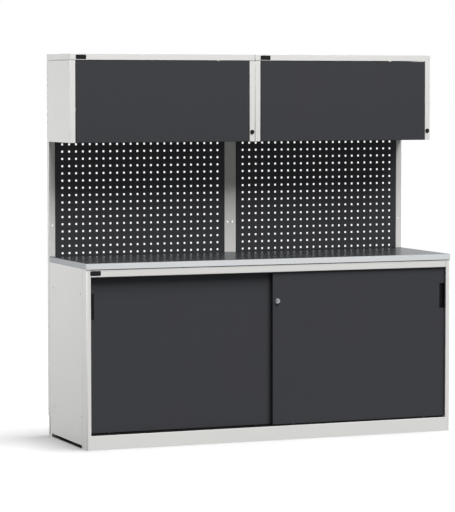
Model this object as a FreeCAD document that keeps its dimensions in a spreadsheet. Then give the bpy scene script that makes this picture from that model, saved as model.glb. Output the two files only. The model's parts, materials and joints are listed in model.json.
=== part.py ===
"""Workbench cabinet: a sliding-door base under a steel-clad worktop, three slotted uprights,
two perforated tool panels and two overhead cabinets with flap doors.

X runs along the bench, Y to the back and Z up, in millimetres. The origin is on the floor,
under the middle of the whole bench.
"""
import FreeCAD, Part
import os
import re
import Sketcher

# Driving sizes, in millimetres
SIZES = {
    # Whole bench
    "bench_width": 2040,
    "bench_height": 2000,
    # Sheet metal and the clearances that every fit is made with
    "steel": 1.5,
    "bend_radius": 2.5,
    "seam": 0.5,
    "running_gap": 0.06,
    "slide_gap": 0.4,
    "overrun": 5,
    # Worktop
    "worktop_depth": 600,
    "worktop_top": 945,
    "worktop_thickness": 30,
    "worktop_overhang": 4,
    "cover_steel": 1.2,
    # Corner posts, sides, rail and plinth of the base
    "post_face": 24,
    "post_depth": 60,
    "post_return": 11,
    "post_radius": 8,
    "side_joint": 2.5,
    "side_front_flange": 15,
    "side_rear_flange": 20,
    "rail_joint": 1.2,
    "rail_height": 40,
    "rail_flange": 64,
    "rail_return": 11,
    "plinth_height": 73,
    "plinth_flange": 70,
    "plinth_return": 20,
    "foot_slot_height": 17.5,
    "front_foot": 20,
    "rear_foot": 30,
    "joining_hole_radius": 4,
    "joining_hole_rear_edge": 70,
    "joining_hole_run": 434.5,
    "joining_hole_low": 161,
    "joining_hole_rise": 625,
    "step_height": 105,
    "step_depth": 13,
    # Inside of the base
    "floor_flange": 40,
    "back_flange": 20,
    "partition_setback": 80,
    "partition_flange": 25,
    "shelf_level": 450,
    "shelf_setback": 100,
    "shelf_flange": 25,
    "shelf_play": 2,
    "clip_leg": 14,
    "clip_width": 20,
    "clip_inset": 40,
    # Sliding doors and their tracks
    "door_setback": 14,
    "door_thickness": 20,
    "door_spacing": 10,
    "door_lap": 4,
    "door_sill_gap": 6,
    "door_head_lap": 5,
    "front_door_edge": 3,
    "door_overlap": 42,
    "track_channel": 12,
    "track_leg": 20,
    "track_lip": 3.3,
    "track_lip_width": 2,
    "track_plate": 1.2,
    "guide_width": 10,
    "guide_length": 40,
    "guide_height": 26,
    "guide_inset": 90,
    "roller_radius": 12,
    "roller_width": 5.6,
    "roller_inset": 120,
    "roller_mouth": 32,
    "roller_mouth_width": 12,
    "axle_radius": 2.5,
    "bracket_length": 30,
    "bracket_flange": 15,
    "bracket_cheek_drop": 7,
    "buffer_width": 12,
    "buffer_height": 40,
    "buffer_level": 470,
    # Recessed pulls
    "pull_edge": 4,
    "pull_width": 32,
    "pull_height": 132,
    "pull_level": 723,
    "pull_depth": 14,
    "pull_wall": 1.6,
    # Push lock of the front door
    "lock_edge": 25,
    "lock_level": 724,
    "lock_travel": 10,
    "plunger_radius": 9,
    "plunger_reach": 16,
    "bolt_radius": 5,
    "bolt_reach": 26,
    "lock_case_wall": 2,
    "lock_case_lip": 4,
    "lock_case_depth": 22,
    "key_radius": 6,
    "key_depth": 11,
    "key_slot_width": 1.6,
    "key_slot_length": 8,
    "key_slot_depth": 3,
    "keeper_width": 26,
    "keeper_thickness": 2,
    "keeper_gap": 0.8,
    # Uprights
    "upright_depth": 30,
    "upright_face": 32,
    "upright_steel": 2,
    "slot_width": 10,
    "slot_height": 14,
    "slot_margin": 10,
    "wall_hole_radius": 5,
    "wall_hole_edge": 18,
    "wall_hole_level": 1107,
    "base_bolt_radius": 4,
    "base_bolt_low": 138,
    "base_bolt_high": 580,
    # Perforated tool panels
    "panel_depth": 20,
    "panel_play": 0.6,
    "panel_gap": 1,
    "hole_pitch": 38,
    "hole_width": 10,
    "column_margin": 30,
    "row_margin": 12,
    "lug_width": 8.5,
    "lug_height": 11,
    "lug_reach": 3.5,
    # Overhead cabinets
    "cabinet_bottom": 1545,
    "cabinet_depth": 348,
    "cabinet_seam": 1,
    "lid_joint": 2,
    "stile_width": 30,
    "stile_return": 20,
    "cabinet_flange": 20,
    "lid_skirt": 32,
    "lid_return": 15,
    "cabinet_floor_setback": 24,
    "cabinet_floor_flange": 20,
    # Flap doors
    "flap_recess": 1,
    "flap_thickness": 20,
    "flap_gap": 3,
    "pivot_drop": 12,
    "pivot_radius": 4,
    "pivot_reach": 9,
    "pivot_head_radius": 7,
    "pivot_head": 3,
    "catch_reach": 24,
    "catch_height": 54,
    "catch_drop": 16,
    # Flap locks
    "flap_lock_edge": 16,
    "flap_lock_rise": 50,
    "flap_lock_rim_radius": 11,
    "flap_lock_rim": 4,
    "flap_lock_radius": 9,
    "flap_lock_depth": 28,
    "flap_key_radius": 6,
    "flap_key_proud": 0.5,
    "cam_thickness": 3,
    "cam_width": 12,
    "cam_length": 26,
    "cam_play": 1,
}

# Places worked out from the sizes, each as a formula of other names
PLACES = {
    "half": "bench_width / 2",
    "rear": "(worktop_depth + upright_depth) / 2",
    "front": "-rear",
    "wall": "rear - upright_depth",
    "base_top": "worktop_top - worktop_thickness",
    "frame_front": "front + worktop_overhang",
    "post_back": "frame_front + post_depth",
    "opening_half": "half - post_face",
    "inner_half": "half - steel",
    "rail_bottom": "base_top - rail_height",
    "back_front": "wall - 2 * steel",
    "plinth_back": "frame_front + plinth_flange",
    "shelf_front": "frame_front + shelf_setback",
    "shelf_back": "back_front - shelf_play",
    "door_outer": "opening_half + door_lap",
    "door_bottom": "plinth_height + door_sill_gap",
    "door_top": "rail_bottom + door_head_lap",
    "front_door": "frame_front + door_setback",
    "rear_door": "front_door + door_thickness + door_spacing",
    "front_line": "front_door + door_thickness / 2",
    "rear_line": "rear_door + door_thickness / 2",
    "track_top": "base_top - steel",
    "track_floor": "plinth_height + track_plate",
    "axle_level": "track_floor + slide_gap + roller_radius",
    "web_level": "axle_level + roller_radius + seam",
    "cheek_half": "roller_width / 2 + slide_gap",
    "pull_outer": "door_outer - pull_edge",
    "pull_inner": "pull_outer - pull_width",
    "pull_low": "pull_level - pull_height / 2",
    "pull_high": "pull_level + pull_height / 2",
    "lock_place": "front_door_edge + lock_edge",
    "lock_face": "front_door - plunger_reach",
    "case_back": "front_door + lock_case_depth",
    "plunger_back": "case_back - lock_case_wall - lock_travel - seam",
    "upright_web": "wall + upright_steel",
    "panel_half": "half / 2 - upright_face - panel_play",
    "panel_bottom": "worktop_top + panel_gap",
    "panel_top": "cabinet_bottom - panel_gap",
    "columns": "floor((2 * panel_half - 2 * column_margin) / hole_pitch) + 1",
    "rows": "floor((panel_top - panel_bottom - 2 * row_margin) / hole_pitch) + 1",
    "row_first": "(panel_bottom + panel_top - (rows - 1) * hole_pitch) / 2",
    "slot_first": "row_first - hole_pitch",
    "slot_count": "floor((bench_height - slot_margin - slot_height / 2 - slot_first) / hole_pitch) + 1",
    "slot_line": "wall + upright_depth / 2",
    "lid_bottom": "bench_height - lid_skirt",
    "cabinet_front": "wall - cabinet_depth",
    "cabinet_back": "wall - steel",
    "flap_front": "cabinet_front + flap_recess",
    "flap_back": "flap_front + flap_thickness",
    "flap_top": "lid_bottom - flap_gap",
    "flap_inset": "stile_width + flap_gap",
    "pivot_line": "flap_front + flap_thickness / 2",
    "pivot_level": "flap_top - pivot_drop",
    "flap_lock_level": "cabinet_bottom + flap_lock_rise",
    "cam_front": "cabinet_front + flap_lock_depth + cam_play",
    "cam_back": "cam_front + cam_thickness",
}

SIDES = (("left", -1), ("right", 1))
CABINETS = (("left", "-half", "-cabinet_seam / 2"), ("right", "cabinet_seam / 2", "half"))

doc = FreeCAD.newDocument("workbench_cabinet")
sizes_sheet = doc.addObject("Spreadsheet::Sheet", "Sizes")
parts = []


def fill_sheet():
    """One row for each driving size: its name and its number, with the name as alias."""
    for row, (name, number) in enumerate(SIZES.items(), start=1):
        sizes_sheet.set(f"A{row}", name)
        sizes_sheet.set(f"B{row}", str(number))
        sizes_sheet.setAlias(f"B{row}", name)
    doc.recompute()


def formula(text):
    """The same formula with every named place and size written out as an expression on the sheet."""

    def written_out(match):
        name = match.group()
        if name in PLACES:
            return "(" + formula(PLACES[name]) + ")"
        if name in SIZES:
            return "Sizes." + name
        return name

    return re.sub("[a-z_]+", written_out, text)


def number(text):
    """What a formula comes to with the sheet's present numbers."""
    return float(sizes_sheet.evalExpression(formula(text)))


def new_body(name, is_part=True):
    body = doc.addObject("PartDesign::Body", name)
    body.Label = name
    if is_part:
        parts.append(body)
    return body


def new_group(name, pieces):
    """Several like solids that share one node."""
    group = doc.addObject("Part::Compound", name)
    group.Label = name
    group.Links = pieces
    parts.append(group)
    return group


def new_sketch(body, plane, offset):
    """An empty sketch on one of the body's origin planes, moved by three formulas."""
    sketch = body.newObject("Sketcher::SketchObject", "outline")
    support = next(f for f in body.Origin.OriginFeatures if f.Role == plane + "_Plane")
    sketch.AttachmentSupport = [(support, "")]
    sketch.MapMode = "FlatFace"
    for axis, text in zip("xyz", offset):
        sketch.setExpression("AttachmentOffset.Base." + axis, formula(text))
    return sketch


def bind(sketch, kind, geometry, point, text):
    """Hold one point of the sketch at a formula's distance from the sketch's origin."""
    index = sketch.addConstraint(Sketcher.Constraint(kind, -1, 1, geometry, point, number(text)))
    sketch.setExpression(f"Constraints[{index}]", formula(text))


def add_polygon(sketch, points):
    spots = [FreeCAD.Vector(number(u), number(v), 0) for u, v in points]
    first = sketch.GeometryCount
    sketch.addGeometry([Part.LineSegment(a, b) for a, b in zip(spots, spots[1:] + spots[:1])], False)
    last = len(points) - 1
    for corner, (u, v) in enumerate(points):
        before = first + (corner - 1 if corner else last)
        sketch.addConstraint(Sketcher.Constraint("Coincident", before, 2, first + corner, 1))
        bind(sketch, "DistanceX", first + corner, 1, u)
        bind(sketch, "DistanceY", first + corner, 1, v)


def add_circle(sketch, u, v, radius):
    centre = FreeCAD.Vector(number(u), number(v), 0)
    circle = sketch.addGeometry(Part.Circle(centre, FreeCAD.Vector(0, 0, 1), number(radius)), False)
    bind(sketch, "DistanceX", circle, 3, u)
    bind(sketch, "DistanceY", circle, 3, v)
    index = sketch.addConstraint(Sketcher.Constraint("Radius", circle, number(radius)))
    sketch.setExpression(f"Constraints[{index}]", formula(radius))


def rectangle(left, low, right, high):
    return [(left, low), (right, low), (right, high), (left, high)]


def extrude(body, kind, plane, loops, start, end):
    """Pad or pocket closed loops from start to end along the axis square to the plane.

    A loop is a list of corners, or a circle as (u, v, radius)."""
    lift = f"-({start})" if plane == "XZ" else start
    sketch = new_sketch(body, plane, ("0", "0", lift))
    for loop in loops:
        if isinstance(loop, tuple):
            add_circle(sketch, *loop)
        else:
            add_polygon(sketch, loop)
    volume = body.Shape.Volume if body.Tip else 0
    feature = body.newObject("PartDesign::" + kind, kind.lower())
    feature.Profile = sketch
    feature.setExpression("Length", formula(f"({end}) - ({start})"))
    feature.Reversed = (kind == "Pad") == (plane == "XZ")
    doc.recompute()
    change = body.Shape.Volume - volume
    if change == 0 or (change > 0) != (kind == "Pad"):
        raise ValueError(f"{body.Label}: {kind} changed nothing")
    return feature


def turn(body, axis, along, across, points):
    """Revolve a half profile of (place along the axis, radius) about an axis along X or Y.

    along and across place the axis: X and Z of an axis along Y, or Y and Z of one along X."""
    if axis == "Y":
        sketch = new_sketch(body, "YZ", ("0", across, along))
    else:
        sketch = new_sketch(body, "XZ", ("0", across, f"-({along})"))
    add_polygon(sketch, points)
    feature = body.newObject("PartDesign::Revolution", "revolution")
    feature.Profile = sketch
    feature.ReferenceAxis = (sketch, ["H_Axis"])
    doc.recompute()
    return feature


def repeat(body, feature, steps):
    """Repeat a feature in rows: steps holds (sketch axis, spacing, count) once or twice.

    The pattern's list of single spacings is emptied, so that every step keeps to the one offset."""
    pattern = body.newObject("PartDesign::LinearPattern", "pattern")
    pattern.Originals = [feature]
    for suffix, (axis, spacing, count) in zip(("", "2"), steps):
        setattr(pattern, "Direction" + suffix, (feature.Profile[0], [axis]))
        setattr(pattern, "Mode" + suffix, "Spacing")
        setattr(pattern, "Spacings" + suffix, [])
        pattern.setExpression("Offset" + suffix, formula(spacing))
        pattern.setExpression("Occurrences" + suffix, formula(count))
    body.Tip = pattern
    doc.recompute()


def round_folds(body, folds, radius="bend_radius"):
    """Give folds their bend radius. A fold is (plane, u, v): the plane its edge is square to,
    and its place on that plane."""
    spots = [("XYZ".index(plane[0]), number(u), "XYZ".index(plane[1]), number(v)) for plane, u, v in folds]
    slack = number("running_gap")
    names = set()
    for index, edge in enumerate(body.Shape.Edges, start=1):
        ends = [vertex.Point for vertex in edge.Vertexes]
        for first, u, second, v in spots:
            if all(abs(end[first] - u) < slack and abs(end[second] - v) < slack for end in ends):
                names.add(f"Edge{index}")
    if len(names) < len(folds):
        raise ValueError(f"{body.Label}: a fold was not found")
    folded = body.Tip
    bend = body.newObject("PartDesign::Fillet", "bend")
    bend.Base = (folded, sorted(names))
    bend.setExpression("Radius", formula(radius))
    doc.recompute()


def front_folds(left, low, right, high, face):
    """The four front edges of a tray whose face lies at face."""
    return [("YZ", face, low), ("YZ", face, high), ("XY", left, face), ("XY", right, face)]


def corner_post(name, side):
    """Front corner of the base: a sheet folded round the corner, with a return beside the doors."""
    out, face = f"{side} * half", f"{side} * opening_half"
    inside, face_inside = f"{side} * inner_half", f"{side} * (opening_half + steel)"
    body = new_body(f"corner_post_{name}")
    fold = [
        (out, "post_back"), (out, "frame_front"), (face, "frame_front"),
        (face, "frame_front + post_return"), (face_inside, "frame_front + post_return"),
        (face_inside, "frame_front + steel"), (inside, "frame_front + steel"), (inside, "post_back"),
    ]
    extrude(body, "Pad", "XY", [fold], "0", "base_top")
    round_folds(body, [("XY", inside, "frame_front + steel")], "post_radius - steel")
    round_folds(body, [("XY", out, "frame_front")], "post_radius")


def base_side(name, side):
    """Side panel from post to upright, clear of the floor: flanged at both ends, with four joining holes."""
    out, inside = f"{side} * half", f"{side} * inner_half"
    front_lip = f"{side} * (inner_half - side_front_flange)"
    rear_lip = f"{side} * (inner_half - side_rear_flange)"
    edge = "post_back + side_joint"
    body = new_body(f"base_side_{name}")
    fold = [
        (out, edge), (out, "wall"), (rear_lip, "wall"), (rear_lip, "wall - steel"), (inside, "wall - steel"),
        (inside, f"{edge} + steel"), (front_lip, f"{edge} + steel"), (front_lip, edge),
    ]
    extrude(body, "Pad", "XY", [fold], "foot_slot_height", "base_top")
    round_folds(body, [("XY", out, edge), ("XY", out, "wall")])
    low, high = sorted((f"{side} * (half + overrun)", f"{side} * (inner_half - overrun)"), key=number)
    columns = ("wall - joining_hole_rear_edge - joining_hole_run", "wall - joining_hole_rear_edge")
    levels = ("joining_hole_low", "joining_hole_low + joining_hole_rise")
    holes = [(column, level, "joining_hole_radius") for column in columns for level in levels]
    extrude(body, "Pocket", "YZ", holes, low, high)


def side_feet(name, side):
    """Two short feet under a side panel, flush with its face, at the ends of the open slot."""
    start, end = sorted((f"{side} * half", f"{side} * inner_half"), key=number)
    front_end, rear_end = "post_back + side_joint + bend_radius", "wall - bend_radius"
    feet = []
    for near, far in ((front_end, "post_back + front_foot"), ("wall - rear_foot", rear_end)):
        foot = new_body("side_foot", is_part=False)
        extrude(foot, "Pad", "YZ", [rectangle(near, "0", far, "foot_slot_height")], start, end)
        feet.append(foot)
    new_group(f"side_feet_{name}", feet)


def front_rail():
    """Rail over the doors: a C fold whose top flange carries the upper track."""
    fold = [
        ("frame_front", "rail_bottom"), ("frame_front", "base_top"),
        ("frame_front + rail_flange", "base_top"),
        ("frame_front + rail_flange", "base_top - steel"), ("frame_front + steel", "base_top - steel"),
        ("frame_front + steel", "rail_bottom + steel"), ("frame_front + rail_return", "rail_bottom + steel"),
        ("frame_front + rail_return", "rail_bottom"),
    ]
    body = new_body("front_rail")
    extrude(body, "Pad", "YZ", [fold], "rail_joint - opening_half", "opening_half - rail_joint")
    round_folds(body, [("YZ", "frame_front", "rail_bottom"), ("YZ", "frame_front", "base_top")])


def front_plinth():
    """Plinth under the doors: a C fold whose top flange carries the lower track."""
    fold = [
        ("frame_front", "0"), ("frame_front", "plinth_height"), ("plinth_back", "plinth_height"),
        ("plinth_back", "plinth_height - steel"), ("frame_front + steel", "plinth_height - steel"),
        ("frame_front + steel", "steel"), ("frame_front + plinth_return", "steel"),
        ("frame_front + plinth_return", "0"),
    ]
    body = new_body("front_plinth")
    extrude(body, "Pad", "YZ", [fold], "running_gap - opening_half", "opening_half - running_gap")
    round_folds(body, [("YZ", "frame_front", "plinth_height")])


def rear_plinth():
    """Low step behind the base that the uprights stand on."""
    step = "wall + step_depth"
    fold = [
        ("wall", "0"), (step, "0"), (step, "step_height"), ("wall", "step_height"),
        ("wall", "step_height - steel"), (f"{step} - steel", "step_height - steel"),
        (f"{step} - steel", "steel"), ("wall", "steel"),
    ]
    extrude(new_body("rear_plinth"), "Pad", "YZ", [fold], "-half", "half")


def base_back():
    """Back sheet in front of the side panels' rear flanges, folded forward at top and bottom."""
    flange = "back_front - back_flange"
    low, high = "plinth_height + seam", "base_top - seam"
    fold = [
        (flange, low), ("wall - steel", low), ("wall - steel", high), (flange, high),
        (flange, f"{high} - steel"), ("back_front", f"{high} - steel"),
        ("back_front", f"{low} + steel"), (flange, f"{low} + steel"),
    ]
    extrude(new_body("base_back"), "Pad", "YZ", [fold], "seam - inner_half", "inner_half - seam")


def base_floor():
    """Floor of the cupboard, flanged down behind the plinth and in front of the back."""
    front_edge, low = "plinth_back + seam", "plinth_height - floor_flange"
    under = "plinth_height - steel"
    fold = [
        (front_edge, low), (front_edge, "plinth_height"), ("wall - steel", "plinth_height"),
        ("wall - steel", low), ("back_front", low), ("back_front", under),
        (f"{front_edge} + steel", under), (f"{front_edge} + steel", low),
    ]
    body = new_body("base_floor")
    edge = "inner_half - side_front_flange - seam"
    extrude(body, "Pad", "YZ", [fold], f"-({edge})", edge)


def centre_partition():
    """Upright sheet that halves the cupboard and props the worktop, flanged front and back."""
    front_edge, back_edge = "frame_front + partition_setback", "back_front - back_flange - seam"
    flange = "steel / 2 + partition_flange"
    fold = [
        ("-steel / 2", front_edge), (flange, front_edge), (flange, f"{front_edge} + steel"),
        ("steel / 2", f"{front_edge} + steel"), ("steel / 2", f"{back_edge} - steel"),
        (flange, f"{back_edge} - steel"), (flange, back_edge), ("-steel / 2", back_edge),
    ]
    extrude(new_body("centre_partition"), "Pad", "XY", [fold], "plinth_height", "base_top")


def shelf(name, side):
    """Loose shelf, turned down at the front and back."""
    front_edge, back_edge = "shelf_front", "shelf_back - back_flange"
    low = "shelf_level - shelf_flange"
    under = "shelf_level - steel"
    fold = [
        (front_edge, low), (front_edge, "shelf_level"), (back_edge, "shelf_level"), (back_edge, low),
        (f"{back_edge} - steel", low), (f"{back_edge} - steel", under),
        (f"{front_edge} + steel", under), (f"{front_edge} + steel", low),
    ]
    inner = "steel / 2 + partition_flange + shelf_play" if side > 0 else "steel / 2 + shelf_play"
    start, end = sorted((f"{side} * ({inner})", f"{side} * (inner_half - shelf_play)"), key=number)
    extrude(new_body(f"shelf_{name}"), "Pad", "YZ", [fold], start, end)


def shelf_clips():
    """Angle clips under the shelves' ends, on the side panels and on the partition."""
    front_clip = "shelf_front + clip_inset"
    back_clip = "shelf_back - back_flange - clip_inset - clip_width"
    reach = "clip_leg + partition_flange"
    under, foot = "shelf_level - steel", "shelf_level - steel - clip_leg"
    clips = []
    for side in (-1, 1):
        carriers = (("inner_half", "-1", "clip_leg"), ("steel / 2", "1", reach))
        for carrier, way, leg in carriers:
            fixed = f"{side} * ({carrier})"
            skin = f"{side} * ({carrier} + {way} * steel)"
            tip = f"{side} * ({carrier} + {way} * ({leg}))"
            angle = [
                (fixed, foot), (fixed, under), (tip, under), (tip, f"{under} - steel"),
                (skin, f"{under} - steel"), (skin, foot),
            ]
            for start in (front_clip, back_clip):
                clip = new_body("shelf_clip", is_part=False)
                extrude(clip, "Pad", "XZ", [angle], start, f"{start} + clip_width")
                clips.append(clip)
    new_group("shelf_clips", clips)


def upper_door_track():
    """Two downward channels under the rail's flange, one for each door's guides."""
    legs = []
    for line in ("front_line", "rear_line"):
        near, far = f"{line} - track_channel / 2", f"{line} + track_channel / 2"
        foot = "track_top - track_leg"
        legs += [
            (f"{near} - steel", foot), (near, foot), (near, "track_top - steel"),
            (far, "track_top - steel"), (far, foot), (f"{far} + steel", foot),
        ]
        if line == "front_line":
            legs.append((f"{far} + steel", "track_top - steel"))
            legs.append(("rear_line - track_channel / 2 - steel", "track_top - steel"))
    profile = legs + [
        ("rear_line + track_channel / 2 + steel", "track_top"),
        ("front_line - track_channel / 2 - steel", "track_top"),
    ]
    body = new_body("upper_door_track")
    extrude(body, "Pad", "YZ", [profile], "seam - opening_half", "opening_half - seam")


def lower_door_track():
    """Black strip over the plinth's flange with a lipped groove under each door's rollers."""
    lip = "track_floor + track_lip"
    groove = "roller_width / 2 + slide_gap"
    top = []
    for line in ("front_line", "rear_line"):
        for way in ("-", "+"):
            near, far = f"{line} {way} ({groove})", f"{line} {way} ({groove} + track_lip_width)"
            first, second = (far, near) if way == "-" else (near, far)
            top += [(first, "track_floor"), (first, lip), (second, lip), (second, "track_floor")]
    front_edge = "frame_front + bend_radius"
    profile = [(front_edge, "track_floor")] + top + [
        ("rear_door + door_thickness", "track_floor"),
        ("rear_door + door_thickness", "plinth_height"), (front_edge, "plinth_height"),
    ]
    body = new_body("lower_door_track")
    extrude(body, "Pad", "YZ", [profile], "seam - opening_half", "opening_half - seam")


def door_buffers():
    """Rubber stops in the corner posts that the doors' edges meet at each end of their travel."""
    low, high = "buffer_level - buffer_height / 2", "buffer_level + buffer_height / 2"
    buffers = []
    for side in (-1, 1):
        start, end = sorted((f"{side} * inner_half", f"{side} * (door_outer + slide_gap)"), key=number)
        for line in ("front_line", "rear_line"):
            stop = new_body("door_buffer", is_part=False)
            shape = rectangle(f"{line} - buffer_width / 2", low, f"{line} + buffer_width / 2", high)
            extrude(stop, "Pad", "YZ", [shape], start, end)
            buffers.append(stop)
    new_group("door_buffers", buffers)


def worktop():
    """Board with a bright steel cover folded down over its front and ends."""
    cover = new_body("worktop_cover")
    extrude(cover, "Pad", "XY", [rectangle("-half", "front", "half", "wall")], "base_top", "worktop_top")
    inside = rectangle("cover_steel - half", "front + cover_steel", "half - cover_steel", "wall + overrun")
    extrude(cover, "Pocket", "XY", [inside], "base_top - overrun", "worktop_top - cover_steel")
    round_folds(cover, [("YZ", "front", "worktop_top"), ("XZ", "-half", "worktop_top"),
                        ("XZ", "half", "worktop_top"), ("XY", "-half", "front"), ("XY", "half", "front")])
    core = rectangle("cover_steel - half", "front + cover_steel", "half - cover_steel", "wall")
    extrude(new_body("worktop_board"), "Pad", "XY", [core], "base_top", "worktop_top - cover_steel")


def sliding_door(name, side, plane, inner):
    """Steel tray door, open at the back, with mouths for its pull, its lock and its rollers."""
    outer = f"{side} * door_outer"
    left, right = sorted((outer, inner), key=number)
    body = new_body(f"sliding_door_{name}")
    face = rectangle(left, "door_bottom", right, "door_top")
    extrude(body, "Pad", "XZ", [face], plane, f"{plane} + door_thickness")
    tray = rectangle(f"{left} + steel", "door_bottom + steel", f"{right} - steel", "door_top - steel")
    extrude(body, "Pocket", "XZ", [tray], f"{plane} + steel", f"{plane} + door_thickness + overrun")
    round_folds(body, front_folds(left, "door_bottom", right, "door_top", plane))
    pull_sides = sorted((f"{side} * pull_inner", f"{side} * pull_outer"), key=number)
    mouth = rectangle(pull_sides[0], "pull_low", pull_sides[1], "pull_high")
    case_hole = "plunger_radius + lock_case_wall + 2 * running_gap"
    bored = ("lock_place", "lock_level", case_hole if side > 0 else "bolt_radius + keeper_gap")
    extrude(body, "Pocket", "XZ", [mouth, bored], f"{plane} - overrun", f"{plane} + steel + overrun")
    line = f"{plane} + door_thickness / 2"
    mouths = [
        rectangle(f"{place} - roller_mouth / 2", f"{line} - roller_mouth_width / 2",
                  f"{place} + roller_mouth / 2", f"{line} + roller_mouth_width / 2")
        for place in roller_places(left, right)
    ]
    extrude(body, "Pocket", "XY", mouths, "door_bottom - overrun", "door_bottom + steel + overrun")


def roller_places(left, right):
    return f"{left} + roller_inset", f"{right} - roller_inset"


def door_pull(name, side, plane):
    """Finger recess behind the door's face: a cup whose floor slopes in towards the door's edge."""
    body = new_body(f"door_pull_{name}")
    ends = (f"{side} * (pull_inner - pull_wall)", f"{side} * (pull_outer + pull_wall)")
    left, right = sorted(ends, key=number)
    cup = rectangle(left, "pull_low - pull_wall", right, "pull_high + pull_wall")
    mouth = f"{plane} + steel"
    extrude(body, "Pad", "XZ", [cup], mouth, f"{mouth} + pull_depth")
    shallow, deep = f"{side} * pull_inner", f"{side} * pull_outer"
    slope = [
        (shallow, f"{mouth} - overrun"), (deep, f"{mouth} - overrun"),
        (deep, f"{mouth} + pull_depth - pull_wall"), (shallow, mouth),
    ]
    extrude(body, "Pocket", "XY", [slope], "pull_low", "pull_high")


def top_guides(name, left, right, line):
    """Nylon blocks on the door's top edge that run in the upper track."""
    guides = []
    for start in (f"{left} + guide_inset", f"{right} - guide_inset - guide_length"):
        block = new_body("top_guide", is_part=False)
        foot = rectangle(start, f"{line} - guide_width / 2",
                         f"{start} + guide_length", f"{line} + guide_width / 2")
        extrude(block, "Pad", "XY", [foot], "door_top", "door_top + guide_height")
        guides.append(block)
    new_group(f"top_guides_{name}", guides)


def roller_brackets(name, left, right, plane, line):
    """Forks fixed behind the door's face, each with the axle pin of its roller."""
    fixed, foot, web = f"{plane} + steel", "axle_level - bracket_cheek_drop", "web_level"
    skin = f"{fixed} + steel"
    near, far = f"{line} - cheek_half", f"{line} + cheek_half"
    fork = [
        (fixed, web), (f"{near} - steel", web), (f"{near} - steel", foot), (near, foot), (near, web),
        (far, web), (far, foot), (f"{far} + steel", foot), (f"{far} + steel", f"{web} + steel"),
        (skin, f"{web} + steel"), (skin, f"{web} + bracket_flange"), (fixed, f"{web} + bracket_flange"),
    ]
    pin = rectangle(f"{near} - steel", "0", f"{far} + steel", "axle_radius")
    brackets = []
    for place in roller_places(left, right):
        bracket = new_body("roller_bracket", is_part=False)
        start, end = f"{place} - bracket_length / 2", f"{place} + bracket_length / 2"
        extrude(bracket, "Pad", "YZ", [fork], start, end)
        turn(bracket, "Y", place, "axle_level", pin)
        brackets.append(bracket)
    new_group(f"roller_brackets_{name}", brackets)


def door_rollers(name, left, right, line):
    """Plain rollers that turn on the brackets' pins and run in the lower track's groove."""
    wheel = rectangle(f"{line} - roller_width / 2", "axle_radius + running_gap",
                      f"{line} + roller_width / 2", "roller_radius")
    for end, place in zip(("left", "right"), roller_places(left, right)):
        turn(new_body(f"{name}_door_roller_{end}"), "Y", place, "axle_level", wheel)


def lock_parts():
    """Push lock of the front door: case, plunger with its bolt, key barrel, and the rear door's keeper."""
    case_bore = "plunger_radius + running_gap"
    case_wall = f"{case_bore} + lock_case_wall"
    lip_front = "front_door - lock_case_lip"
    back_wall = "case_back - lock_case_wall"
    case = [
        (lip_front, case_bore), (lip_front, f"{case_wall} + lock_case_wall"),
        ("front_door", f"{case_wall} + lock_case_wall"), ("front_door", case_wall),
        ("case_back", case_wall), ("case_back", "bolt_radius + running_gap"),
        (back_wall, "bolt_radius + running_gap"), (back_wall, case_bore),
    ]
    turn(new_body("lock_case"), "Y", "lock_place", "lock_level", case)
    socket = "key_radius + running_gap"
    bolt_tip = "front_door + bolt_reach"
    plunger = [
        ("lock_face", socket), ("lock_face", "plunger_radius"), ("plunger_back", "plunger_radius"),
        ("plunger_back", "bolt_radius"), (bolt_tip, "bolt_radius"), (bolt_tip, "0"),
        ("lock_face + key_depth + seam", "0"), ("lock_face + key_depth + seam", socket),
    ]
    turn(new_body("lock_plunger"), "Y", "lock_place", "lock_level", plunger)
    barrel = new_body("lock_key_barrel")
    rod = rectangle("lock_face", "0", "lock_face + key_depth", "key_radius")
    turn(barrel, "Y", "lock_place", "lock_level", rod)
    key_slot(barrel, "lock_place", "lock_level", "lock_face")
    keeper = new_body("lock_keeper")
    plate = rectangle("lock_place - keeper_width / 2", "lock_level - keeper_width / 2",
                      "lock_place + keeper_width / 2", "lock_level + keeper_width / 2")
    bored = ("lock_place", "lock_level", "bolt_radius + keeper_gap")
    extrude(keeper, "Pad", "XZ", [plate, bored], "rear_door + steel", "rear_door + steel + keeper_thickness")


def key_slot(barrel, place, level, face):
    """Upright slot for the key in a barrel's face."""
    slot = rectangle(f"{place} - key_slot_width / 2", f"{level} - key_slot_length / 2",
                     f"{place} + key_slot_width / 2", f"{level} + key_slot_length / 2")
    extrude(barrel, "Pocket", "XZ", [slot], f"{face} - overrun", f"{face} + key_slot_depth")


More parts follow.
